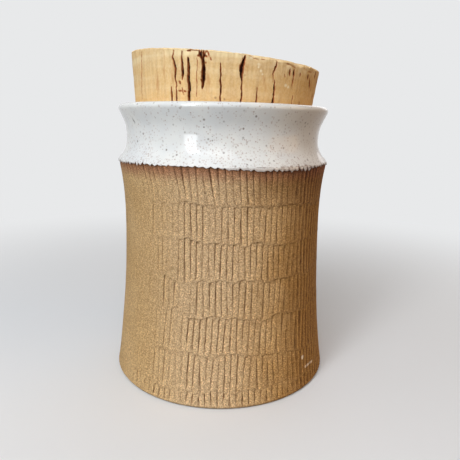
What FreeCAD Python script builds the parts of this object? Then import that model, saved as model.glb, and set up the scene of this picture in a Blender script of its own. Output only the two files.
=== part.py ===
"""Stoneware coffee canister with a natural cork stopper.

The jar is one thrown piece: a waisted body, a sharp shoulder where the glaze ends,
a coved neck and a flared lip. The cork is a tapered plug that sits a little askew
in the flared mouth. Units are millimetres, +Z is up, and the origin is the centre
of the foot on the surface that the jar stands on.
"""

import FreeCAD, Part

import math
import os

from FreeCAD import Rotation, Vector

# ---------------------------------------------------------------- jar, heights
body_height = 119.8          # standing surface to the sharp shoulder
waist_height = 90.6          # narrowest place of the body
ledge_rise = 7.2             # sloping ledge above the shoulder
neck_band = 9.6              # straight part of the neck
flare_rise = 11.9            # flared part up to the lip

# ------------------------------------------------------------------ jar, radii
foot_radius = 62.0
waist_radius = 55.2
neck_radius = 52.9
ledge_width = 5.3            # the shoulder stands this far out from the neck, glaze included
flare_spread = 5.7           # the lip stands this far out from the neck

# ---------------------------------------------------------------- jar, details
foot_bevel = 1.4             # bevel round the bottom edge
foot_ring_width = 9.0        # flat ring that the jar stands on
foot_recess = 1.2            # height of the hollow inside the ring
foot_recess_slope = 2.0      # width of the slope between ring and hollow
glaze_thickness = 0.4        # the glaze stands this far proud of the bare clay
glaze_lap = 1.0              # how far the glaze runs down over the shoulder
ledge_rounding = 13.0        # radius between the ledge and the neck
flare_rounding = 18.0        # radius between the neck and the flare
lip_width = 4.6              # flat top of the lip before it is rounded
lip_outer_rounding = 2.0
lip_inner_rounding = 1.2

# ----------------------------------------------------------------------- mouth
wall = 5.2                   # clay between the neck and the throat
mouth_depth = 10.0           # lip down to the throat, where the cork bears
mouth_shift_x = -0.7         # the mouth is thrown slightly off centre
mouth_shift_y = 0.7

# ------------------------------------------------------------------------ cork
cork_thickness = 38.1        # along its axis
cork_seat_depth = 5.1        # part of that thickness which is below the throat
cork_taper = 6.0             # degrees between the side and the axis
cork_tilt = 2.7              # degrees by which the cork leans towards +X
cork_top_fall = 1.6          # degrees by which its top face falls towards +X
cork_top_climb = 1.4         # degrees by which its top face climbs towards +Y
cork_top_rounding = 1.1
cork_bottom_bevel = 0.8
seat_clearance = 0.25        # between the cork and the mouth, all round

# ------------------------------------------------------------- derived sizes
neck_start = body_height + ledge_rise
flare_start = neck_start + neck_band
jar_height = flare_start + flare_rise
shoulder_radius = neck_radius + ledge_width
rim_radius = neck_radius + flare_spread
throat_radius = neck_radius - wall
throat_height = jar_height - mouth_depth
mouth_radius = rim_radius - lip_width
taper_slope = math.tan(math.radians(cork_taper))
cork_bottom_radius = throat_radius - seat_clearance - cork_seat_depth * taper_slope

AXIS = Vector(0, 0, 1)
CUT_MARGIN = 1.0             # how far a cutting tool reaches past the surface it cuts


class Fissure:
    """A dark crack in the cork: where it lies on the side and how wide and deep it is."""

    def __init__(self, azimuth, low, high, width, depth, lean=0.0, bow=0.0):
        self.azimuth = azimuth   # degrees from +X, at the crack's lower end
        self.low = low           # mm above the cork's bottom, along the side
        self.high = high
        self.width = width
        self.depth = depth
        self.lean = lean         # mm that the upper end lies to the right of the lower
        self.bow = bow           # mm that the middle swings to the right


FRONT_FISSURES = [
    Fissure(-120.0, 8.0, 20.5, 0.7, 1.6),
    Fissure(-117.0, 17.0, 36.0, 0.8, 2.2, lean=-0.6, bow=0.6),
    Fissure(-113.0, 22.5, 34.5, 0.9, 2.2, lean=-0.2, bow=-0.3),
    Fissure(-109.0, 10.0, 31.5, 1.1, 2.6, lean=-0.9),
    Fissure(-101.6, 20.0, 38.5, 1.5, 3.2, lean=-0.3, bow=0.3),
    Fissure(-91.7, 8.0, 31.0, 0.6, 1.4, lean=-0.4),
    Fissure(-80.6, 24.5, 35.5, 1.4, 2.8, lean=0.6, bow=-0.7),
    Fissure(-80.0, 9.0, 24.0, 0.6, 1.2, lean=0.5),
    Fissure(-61.5, 12.0, 27.0, 0.8, 1.8, lean=1.0),
    Fissure(-63.0, 29.0, 34.5, 0.8, 1.8, lean=0.9),
    Fissure(-52.6, 30.0, 33.5, 0.7, 1.4),
    Fissure(-48.0, 29.5, 33.0, 0.8, 1.4),
    Fissure(-36.0, 27.0, 32.0, 0.6, 1.0, lean=0.6),
]
back_fissure_count = 13
back_fissure_start = -10.0   # degrees, first of the cracks round the back
back_fissure_step = 17.0     # degrees between one and the next

# worn flats on the top edge: degrees from +X, and mm taken off the corner
EDGE_CHIPS = [(-68.0, 0.9), (-47.0, 1.3), (-28.0, 0.8), (35.0, 0.9), (128.0, 1.1)]
chip_slope = 38.0            # degrees of a flat above the level


def at(radius, height):
    """A point of the jar's outline."""
    return Vector(radius, 0, height)


def tangent_side(waist, end):
    """The arc that leaves the waist upright and ends at a given point."""
    rise = end.z - waist.z
    spread = end.x - waist.x
    if abs(spread) < 1e-6:
        return Part.LineSegment(waist, end).toShape()
    radius = (rise ** 2 + spread ** 2) / (2 * spread)
    half_rise = rise / 2
    offset = abs(radius) - math.sqrt(radius ** 2 - half_rise ** 2)
    middle = at(waist.x + math.copysign(offset, spread), waist.z + half_rise)
    return Part.Arc(waist, middle, end).toShape()


def rounded_corner(before, corner, after, radius):
    """Where an arc of that radius starts, has its middle and ends in a corner."""
    to_before = (before - corner).normalize()
    to_after = (after - corner).normalize()
    half_angle = to_before.getAngle(to_after) / 2
    room = 0.48 * min((before - corner).Length, (after - corner).Length)
    tangent_length = min(radius / math.tan(half_angle), room)
    fitted_radius = tangent_length * math.tan(half_angle)
    start = corner + to_before * tangent_length
    end = corner + to_after * tangent_length
    inward = (to_before + to_after).normalize()
    centre_distance = fitted_radius / math.sin(half_angle)
    middle = corner + inward * (centre_distance - fitted_radius)
    return start, middle, end


def neck_edges(shoulder, lip):
    """The ledge, neck, flare and lip, from the shoulder up to the axis, with round corners."""
    lip_centre = at(0, jar_height)
    route = [
        shoulder,
        at(neck_radius, neck_start),
        at(neck_radius, flare_start),
        lip,
        lip_centre,
    ]
    roundings = [ledge_rounding, flare_rounding, lip_outer_rounding]
    edges = []
    last = shoulder
    for index, rounding in enumerate(roundings, start=1):
        start, middle, end = rounded_corner(route[index - 1], route[index], route[index + 1], rounding)
        edges.append(Part.LineSegment(last, start).toShape())
        edges.append(Part.Arc(start, middle, end).toShape())
        last = end
    edges.append(Part.LineSegment(last, lip_centre).toShape())
    return edges


def straight_edges(points):
    """Straight edges through a row of points."""
    return [Part.LineSegment(a, b).toShape() for a, b in zip(points, points[1:])]


def jar_outline():
    """Half of the jar's section, as a closed wire on the axis."""
    ring_inner = foot_radius - foot_bevel - foot_ring_width
    glaze_line = body_height - glaze_lap
    foot = at(foot_radius, foot_bevel)
    waist = at(waist_radius, waist_height)
    clay_shoulder = at(shoulder_radius - glaze_thickness, glaze_line)
    shoulder = at(shoulder_radius, body_height)
    lip = at(rim_radius, jar_height)
    underside = [
        at(0, foot_recess),
        at(ring_inner - foot_recess_slope, foot_recess),
        at(ring_inner, 0),
        at(foot_radius - foot_bevel, 0),
        foot,
    ]
    edges = straight_edges(underside)
    edges.append(tangent_side(waist, foot))
    edges.append(tangent_side(waist, clay_shoulder))
    edges += straight_edges([clay_shoulder, at(shoulder_radius, glaze_line), shoulder])
    edges += neck_edges(shoulder, lip)
    edges += straight_edges([at(0, jar_height), at(0, foot_recess)])
    return Part.Wire(Part.__sortEdges__(edges))


def throat_centre():
    """Where the cork's axis crosses the throat."""
    return Vector(mouth_shift_x, mouth_shift_y, throat_height)


def place_cork(shape):
    """Moves a shape from the cork's own frame, bottom centre at the origin, to the mouth."""
    shape.translate(Vector(0, 0, -cork_seat_depth))
    shape.rotate(Vector(0, 0, 0), Vector(0, 1, 0), cork_tilt)
    shape.translate(throat_centre())
    return shape


def seat_tool():
    """The cork's outline with clearance, as the tool that cuts its seat.

    Its seam is a quarter turn from the seam of the flared mouth, so that the two never cross.
    """
    height = cork_thickness + 2 * CUT_MARGIN
    radius = cork_bottom_radius + seat_clearance - seat_clearance * taper_slope
    tool = Part.makeCone(radius, radius + height * taper_slope, height)
    tool.rotate(Vector(0, 0, 0), AXIS, 90)
    tool.translate(Vector(0, 0, -seat_clearance))
    return place_cork(tool)


def flare_tool():
    """The flared mouth above the throat. It starts inside the seat, so no ledge is left."""
    slope = (mouth_radius - throat_radius) / mouth_depth
    below = 2 * CUT_MARGIN
    above = CUT_MARGIN
    tool = Part.makeCone(
        throat_radius - below * slope,
        mouth_radius + above * slope,
        below + mouth_depth + above,
    )
    tool.translate(throat_centre() - Vector(0, 0, below))
    return tool


def mouth_edge(shape):
    """The round edge between the lip's flat top and the flared mouth."""
    rounds = []
    for edge in shape.Edges:
        box = edge.BoundBox
        level = abs(box.ZMin - jar_height) < 1e-3 and abs(box.ZMax - jar_height) < 1e-3
        if level and isinstance(edge.Curve, Part.Circle):
            rounds.append(edge)
    return min(rounds, key=lambda edge: edge.Curve.Radius)


def make_jar():
    """The jar: the turned body, its mouth and the seat for the cork."""
    body = Part.Face(jar_outline()).revolve(Vector(0, 0, 0), AXIS, 360)
    body = body.cut(flare_tool())
    body = body.makeFillet(lip_inner_rounding, [mouth_edge(body)])
    return body.cut(seat_tool())


def side_radius(height):
    """The cork's radius at a height above its bottom."""
    return cork_bottom_radius + height * taper_slope


def side_frame(azimuth):
    """Unit vectors on the cork's side: to the right, up the side, and outwards."""
    angle = math.radians(azimuth)
    taper = math.radians(cork_taper)
    outwards = Vector(math.cos(angle), math.sin(angle), 0)
    right = Vector(-math.sin(angle), math.cos(angle), 0)
    up = outwards * math.sin(taper) + AXIS * math.cos(taper)
    normal = outwards * math.cos(taper) - AXIS * math.sin(taper)
    return right, up, normal


def fissure_tool(fissure):
    """A slit with pointed ends, cut square into the cork's side."""
    right, up, normal = side_frame(fissure.azimuth)
    foot = Vector(cork_bottom_radius, 0, 0)
    foot = Rotation(AXIS, fissure.azimuth).multVec(foot)
    length = fissure.high - fissure.low
    half = fissure.width / 2
    outline = [
        (0.0, 0.0, 0.0),
        (0.30, 0.8, 0.5),
        (0.62, 1.0, 1.0),
        (1.0, 0.0, 0.0),
        (0.68, -1.0, 1.0),
        (0.34, -0.7, 0.5),
    ]
    points = []
    for share, side, bowed in outline:
        across = fissure.lean * share + half * side + fissure.bow * bowed
        along = fissure.low + length * share
        points.append(foot + right * across + up * along + normal * CUT_MARGIN)
    face = Part.Face(Part.makePolygon(points + [points[0]]))
    return face.extrude(normal * -(fissure.depth + CUT_MARGIN))


def back_fissures():
    """The cracks round the back, spread and sized by a rule so that no two are alike."""
    cracks = []
    for index in range(back_fissure_count):
        sway = math.sin(2.4 * index)
        azimuth = back_fissure_start + back_fissure_step * index + 4.0 * sway
        low = 9.0 + 6.0 * math.sin(1.7 * index) ** 2
        length = 9.0 + 13.0 * math.cos(2.1 * index) ** 2
        high = min(low + length, cork_thickness - 3.0)
        width = 0.8 + 0.35 * sway
        cracks.append(Fissure(azimuth, low, high, width, 2.2 * width, lean=0.8 * sway))
    return cracks


def top_tool():
    """Everything above the cork's sloping top face."""
    reach = 3 * cork_bottom_radius
    block = Part.makeBox(reach, reach, reach, Vector(-reach / 2, -reach / 2, 0))
    block.rotate(Vector(0, 0, 0), Vector(0, 1, 0), cork_top_fall)
    block.rotate(Vector(0, 0, 0), Vector(1, 0, 0), cork_top_climb)
    block.translate(Vector(0, 0, cork_thickness))
    return block


def chip_tool(azimuth, depth):
    """A block whose underside takes a flat off the cork's top edge."""
    angle = math.radians(azimuth)
    radius = side_radius(cork_thickness)
    fall = radius * math.cos(angle) * math.tan(math.radians(cork_top_fall))
    climb = radius * math.sin(angle) * math.tan(math.radians(cork_top_climb))
    reach = radius
    block = Part.makeBox(reach, 2 * reach, reach, Vector(-reach / 2, -reach, 0))
    block.rotate(Vector(0, 0, 0), Vector(0, 1, 0), chip_slope)
    corner = Vector(radius, 0, cork_thickness - fall + climb)
    normal = Rotation(Vector(0, 1, 0), chip_slope).multVec(AXIS)
    block.translate(corner - normal * depth)
    block.rotate(Vector(0, 0, 0), AXIS, azimuth)
    return block


def edge_at_top(shape):
    """The cork's highest closed edge, round its top face."""
    closed = [edge for edge in shape.Edges if edge.isClosed() and edge.Length > cork_bottom_radius]
    return max(closed, key=lambda edge: edge.BoundBox.ZMax)


def edge_at_bottom(shape):
    """The cork's lowest closed edge, round its bottom face."""
    closed = [edge for edge in shape.Edges if edge.isClosed() and edge.Length > cork_bottom_radius]
    return min(closed, key=lambda edge: edge.BoundBox.ZMax)


def make_cork():
    """The cork: tapered plug, sloping worn top, and the cracks in its side."""
    blank_height = cork_thickness * 1.5
    cork = Part.makeCone(cork_bottom_radius, side_radius(blank_height), blank_height)
    cork = cork.cut(top_tool())
    cork = cork.makeFillet(cork_top_rounding, [edge_at_top(cork)])
    cork = cork.makeChamfer(cork_bottom_bevel, [edge_at_bottom(cork)])
    for azimuth, depth in EDGE_CHIPS:
        cork = cork.cut(chip_tool(azimuth, depth))
    for fissure in FRONT_FISSURES + back_fissures():
        cork = cork.cut(fissure_tool(fissure))
    return place_cork(cork)


def export(name, shape):
    """Writes one piece, after checking that it is a single sound solid."""
    if not shape.isValid() or len(shape.Solids) != 1:
        raise ValueError(f"{name} is not one valid solid")
    shape.Solids[0].exportStep(f"parts/{name}.step")
    box = shape.optimalBoundingBox()
    print(f"{name}: {box.XLength:.1f} x {box.YLength:.1f} x {box.ZLength:.1f} mm, top at {box.ZMax:.1f}")


def main():
    """Builds and writes every piece."""
    os.makedirs("parts", exist_ok=True)
    export("jar", make_jar())
    export("cork", make_cork())


main()
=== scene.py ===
"""Looks of a stoneware coffee canister with a cork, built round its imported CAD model.

The carved clay body, the glazed neck and the cork are each one turned mesh: a half
outline is extruded point by point, spun round the upright axis, and then pressed,
split and worn by vertex moves. All sizes are in metres, +Z is up, and the origin is
the centre of the foot on the floor.
"""

import logging
import math
from dataclasses import dataclass
from enum import Enum
from itertools import product
from typing import Any, Callable, Sequence

import bmesh
import bpy
import numpy as np
from mathutils import Matrix, Vector


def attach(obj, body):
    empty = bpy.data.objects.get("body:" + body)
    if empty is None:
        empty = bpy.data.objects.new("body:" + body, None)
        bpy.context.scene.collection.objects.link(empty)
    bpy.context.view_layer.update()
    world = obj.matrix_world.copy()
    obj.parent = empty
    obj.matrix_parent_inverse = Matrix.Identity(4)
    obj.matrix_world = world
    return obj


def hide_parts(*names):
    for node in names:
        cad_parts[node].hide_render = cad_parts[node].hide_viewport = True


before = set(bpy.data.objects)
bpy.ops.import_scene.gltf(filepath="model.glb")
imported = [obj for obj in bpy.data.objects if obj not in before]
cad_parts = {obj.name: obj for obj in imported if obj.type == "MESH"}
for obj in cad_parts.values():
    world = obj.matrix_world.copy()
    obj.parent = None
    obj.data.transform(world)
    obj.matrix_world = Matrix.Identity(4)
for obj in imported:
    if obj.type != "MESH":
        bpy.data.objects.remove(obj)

MM = 0.001
FULL_TURN = 2 * math.pi
WELD_DISTANCE = 1e-6
SMOOTH_ANGLE = math.radians(50)
STRIPS = 113                                   # tool presses in a row round the clay
PER_STRIP = 7                                  # columns of vertices in each of them

Array = np.ndarray
Pair = tuple[float, float]
Pairs = Sequence[Pair]

LOG = logging.getLogger("canister")

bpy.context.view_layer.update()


class Slot(Enum):
    """The pieces' material slots."""

    CLAY = "stoneware"
    GLAZE = "glaze"
    CORK = "cork"


# --------------------------------------------------------------------- modelling


class TurnedMesh:
    """A half outline turned as on a wheel, read as rings and columns of vertices."""

    def __init__(self, name: str, outline: Pairs, columns: int) -> None:
        """Turns the piece, and reads where each vertex stands.

        Args:
            name: The new piece's name.
            outline: Radius and height of each point, from the axis round to the axis.
            columns: How many steps the outline is spun in.
        """
        self.columns = columns
        self.piece = self.turned(name, outline)
        mesh = self.piece.data
        self.place = np.empty(len(mesh.vertices) * 3)
        mesh.vertices.foreach_get("co", self.place)
        self.place = self.place.reshape(-1, 3)
        self.station = np.empty(len(mesh.vertices), dtype=np.int32)
        mesh.attributes["station"].data.foreach_get("value", self.station)
        turn = np.arctan2(self.place[:, 1], self.place[:, 0]) / FULL_TURN
        self.column = np.rint(turn * columns).astype(int) % columns
        self.pole = self.radius() < WELD_DISTANCE

    def turned(self, name: str, outline: Pairs) -> bpy.types.Object:
        """Draws the outline from a single vertex and spins it into a closed solid.

        Args:
            name: The new piece's name.
            outline: Radius and height of each point, from the axis round to the axis.

        Returns:
            The piece, with the number of the outline's point on each vertex.
        """
        bpy.ops.mesh.primitive_circle_add(vertices=3, radius=MM, location=(0, 0, 0))
        piece = bpy.context.object
        piece.name = piece.data.name = name
        bpy.ops.object.mode_set(mode="EDIT")
        mesh = bmesh.from_edit_mesh(piece.data)
        for index, vertex in enumerate(mesh.verts):
            vertex.select_set(index > 0)
        mesh.select_flush_mode()
        bmesh.update_edit_mesh(piece.data)
        bpy.ops.mesh.delete(type="VERT")
        bpy.ops.mesh.select_all(action="SELECT")
        where = bmesh.from_edit_mesh(piece.data).verts[:][0].co
        bpy.ops.transform.translate(value=Vector((outline[0][0], 0.0, outline[0][1])) - where)
        for (radius, height), (next_radius, next_height) in zip(outline, outline[1:]):
            step = (next_radius - radius, 0.0, next_height - height)
            bpy.ops.mesh.extrude_region_move(TRANSFORM_OT_translate={"value": step})
        bpy.ops.object.mode_set(mode="OBJECT")
        places = np.array([(vertex.co.x, vertex.co.z) for vertex in piece.data.vertices])
        numbers = [int(np.argmin(((np.array(outline) - place) ** 2).sum(1))) for place in places]
        layer = piece.data.attributes.new("station", "INT", "POINT")
        layer.data.foreach_set("value", numbers)
        bpy.ops.object.mode_set(mode="EDIT")
        bpy.ops.mesh.select_all(action="SELECT")
        bpy.ops.mesh.spin(
            steps=self.columns, angle=FULL_TURN, center=(0, 0, 0), axis=(0, 0, 1),
            use_auto_merge=True,
        )
        bpy.ops.mesh.select_all(action="SELECT")
        bpy.ops.mesh.remove_doubles(threshold=WELD_DISTANCE)
        bpy.ops.mesh.normals_make_consistent(inside=False)
        bpy.ops.object.mode_set(mode="OBJECT")
        return piece

    def radius(self) -> Array:
        """Each vertex's distance from the axis."""
        return np.hypot(self.place[:, 0], self.place[:, 1])

    def reshape(self, radius: Array, azimuth: Array, height: Array) -> None:
        """Sets every vertex by its radius, its azimuth in radians and its height."""
        self.move(cylinder(np.where(self.pole, 0.0, radius), azimuth, height))

    def move(self, place: Array) -> None:
        """Sets every vertex's place.

        Args:
            place: One row of x, y, z for each vertex.
        """
        self.place = place
        self.piece.data.vertices.foreach_set("co", place.ravel())
        self.piece.data.update()

    def paint(self, name: str, values: Array) -> None:
        """Writes a mask on the vertices for the material to read."""
        layer = self.piece.data.attributes.new(name, "FLOAT", "POINT")
        layer.data.foreach_set("value", values.astype(np.float32))


class Piece:
    """A turned piece. Each kind gives its own outline, shape and material."""

    name: str
    slot: Slot
    node: str
    columns: int

    def build(self) -> None:
        """Turns, shapes and paints it, and says what it rides on, wears and stands for."""
        mesh = TurnedMesh(self.name, self.outline(), self.columns)
        self.shape(mesh)
        piece = mesh.piece
        piece.data.materials.append(self.material())
        bpy.ops.object.shade_smooth_by_angle(angle=SMOOTH_ANGLE)
        piece.data.attributes.remove(piece.data.attributes["station"])
        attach(piece, "root")
        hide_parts(self.node)
        triangles = sum(len(polygon.vertices) - 2 for polygon in piece.data.polygons)
        LOG.info("%s: %d triangles", piece.name, triangles)


def cylinder(radius: Array, azimuth: Array, height: Array) -> Array:
    """Rows of x, y, z for places given by radius, azimuth in radians and height."""
    return np.column_stack((radius * np.cos(azimuth), radius * np.sin(azimuth), height))


LATTICE = np.random.default_rng(7).uniform(-1.0, 1.0, (64, 64, 64))


def lumps(place: Array, size: float, seed: float) -> Array:
    """Smooth noise from about -1 to 1 at each place.

    Args:
        place: One row of x, y, z for each vertex.
        size: How far apart the lumps are.
        seed: Shifts the pattern, so that no two uses are alike.

    Returns:
        One value for each place.
    """
    spot = place / size + np.array((17.3, 5.1, 9.7)) * seed
    cell = np.floor(spot).astype(int)
    part = spot - cell
    soft = part * part * (3 - 2 * part)
    total = np.zeros(len(place))
    for corner in product((0, 1), repeat=3):
        x, y, z = ((cell + corner) % 64).T
        total += np.where(corner, soft, 1 - soft).prod(1) * LATTICE[x, y, z]
    return total


def smooth_step(value: Array, low: float, high: float) -> Array:
    """Rises smoothly from 0 at low to 1 at high."""
    share = np.clip((value - low) / (high - low), 0.0, 1.0)
    return share * share * (3 - 2 * share)


def grown(value: Array, start: float, span: float) -> Array:
    """Rises evenly from 0 at start to 1 after span."""
    return np.clip((value - start) / span, 0, 1)


def signed(degrees: Array) -> Array:
    """Degrees round the axis, from -180 to 180."""
    return (degrees + 180) % 360 - 180


def around(azimuth: Array, anchors: Pairs) -> Array:
    """A value that follows anchors of degrees and value round the axis, closed up behind."""
    return np.interp(azimuth, [a for a, _ in anchors], [v for _, v in anchors], period=360)


def oval(x: Array, y: Array, angle: float, length: float, width: float) -> Array:
    """How far places lie from an oval's middle: 1 on its edge.

    Args:
        x: Each place to the right of the middle.
        y: Each place above the middle.
        angle: How far the oval is turned, in radians.
        length: Half the oval's length.
        width: Half its width.

    Returns:
        One value for each place.
    """
    along = x * math.cos(angle) + y * math.sin(angle)
    side = y * math.cos(angle) - x * math.sin(angle)
    return np.sqrt((along / length) ** 2 + (side / width) ** 2)


def rounded_route(corners: Pairs, radii: Sequence[float], steps: Sequence[int]) -> list[Pair]:
    """An outline through corners, each inner corner replaced by an arc.

    Args:
        corners: Radius and height of each corner.
        radii: The rounding of each inner corner.
        steps: How many parts each rounding is divided in.

    Returns:
        The outline's points.
    """
    route = [corners[0]]
    for index, (radius, parts) in enumerate(zip(radii, steps), start=1):
        corner = Vector(corners[index])
        before = Vector(corners[index - 1]) - corner
        after = Vector(corners[index + 1]) - corner
        half = before.angle(after) / 2
        reach = min(radius / math.tan(half), 0.75 * min(before.length, after.length))
        before.normalize()
        after.normalize()
        rounding = reach * math.tan(half)
        centre = corner + (before + after).normalized() * rounding / math.sin(half)
        first = corner + before * reach - centre
        last = corner + after * reach - centre
        sweep = first.angle_signed(last)
        for part in range(parts + 1):
            route.append(tuple(centre + Matrix.Rotation(-sweep * part / parts, 2) @ first))
    return route + [corners[-1]]


def refined(route: Pairs, longest: float) -> list[Pair]:
    """A route whose long parts are divided, so that none is longer than a length.

    Args:
        route: Radius and height of each point.
        longest: The longest part that may stay whole.

    Returns:
        The route's points, old and new.
    """
    points = [route[0]]
    for start, end in zip(route, route[1:]):
        parts = max(1, math.ceil(math.dist(start, end) / longest))
        for part in range(1, parts + 1):
            points.append(tuple(a + (b - a) * (part / parts) for a, b in zip(start, end)))
    return points


# --------------------------------------------------------------------- the body


@dataclass(frozen=True)
class CarvedRow:
    """One row of presses, each with a sharp line at its left, fading out to the right."""

    tops: Pairs                                # azimuth and height in mm where the row starts
    shifts: tuple[float, ...]                  # degrees by which its lines lie off the even pitch
    lean: float                                # degrees by which a line's foot lies to its right
    strengths: str                             # 0 to 9 for each line across the front


ROWS = (
    CarvedRow(((0, 119.9),), (-0.3, -0.6, -0.6, 0.3, 1.0, 0.9, 0.3, 0.0), 1.7,
              "00023200136433643257746567656545653200"),
    CarvedRow(((-142, 102.5), (-119, 102.3), (-108, 103.2), (-99, 101.4), (-77, 101.9),
               (-57, 100.9), (-41, 100.0), (40, 101.5), (130, 102.6)),
              (-0.5, -0.7, -0.5, -0.8, -1.2, -0.9, -0.9, -1.4), 0.1,
              "00113121224665124566634785434312211000"),
    CarvedRow(((-140, 83.6), (-112, 84.5), (-107, 84.6), (-97, 83.7), (-86, 83.1),
               (-71, 83.1), (-52, 82.2), (-41, 82.0), (50, 83.8), (140, 84.4)),
              (-0.1, -0.8, -0.6, -1.0, -1.6, -2.3, -2.2, -1.9), -0.2,
              "00010322037563368562476532664311101100"),
    CarvedRow(((-140, 65.8), (-118, 66.0), (-109, 62.5), (-101, 65.0), (-84, 65.0),
               (-78, 66.5), (-72, 64.5), (-41, 63.6), (50, 65.0), (140, 66.4)),
              (0.3, 0.5, -0.3, -0.1, -1.4, -1.3, -1.1, -1.2), -0.8,
              "01021053520264776466772766764333211000"),
    CarvedRow(((-140, 50.0), (-112, 50.0), (-106, 47.2), (-97, 46.3), (-81, 46.5),
               (-55, 45.6), (-41, 44.2), (50, 46.5), (140, 49.0)),
              (-0.3, -1.2, -1.3, -1.7, -2.2, -2.7, -3.0, -3.1), -1.0,
              "11101213313766546666434656635644210010"),
    CarvedRow(((-140, 27.6), (-108, 27.8), (-98, 28.0), (-93, 27.0), (-85, 28.2),
               (-75, 28.0), (-52, 25.2), (-41, 22.6), (50, 26.5), (140, 28.5)),
              (-0.7, -1.0, -0.6, -1.1, -2.0, -1.7, -2.5, -3.0), -0.5,
              "01001334223655444666547564235433011000"),
    CarvedRow(((-140, 9.6), (-99, 9.0), (-91, 9.3), (-88, 10.0), (-79, 9.0), (-76, 10.5),
               (-52, 9.0), (50, 10.2), (140, 9.4)),
              (0.5, 0.3, -0.6, -1.5, -2.4, -3.0, -3.4, -3.6), -0.2,
              "34222755423698766799998599998456421000"),
)
SHIFT_ANCHORS = (-130, -118, -106, -94, -82, -70, -58, -46)


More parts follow.
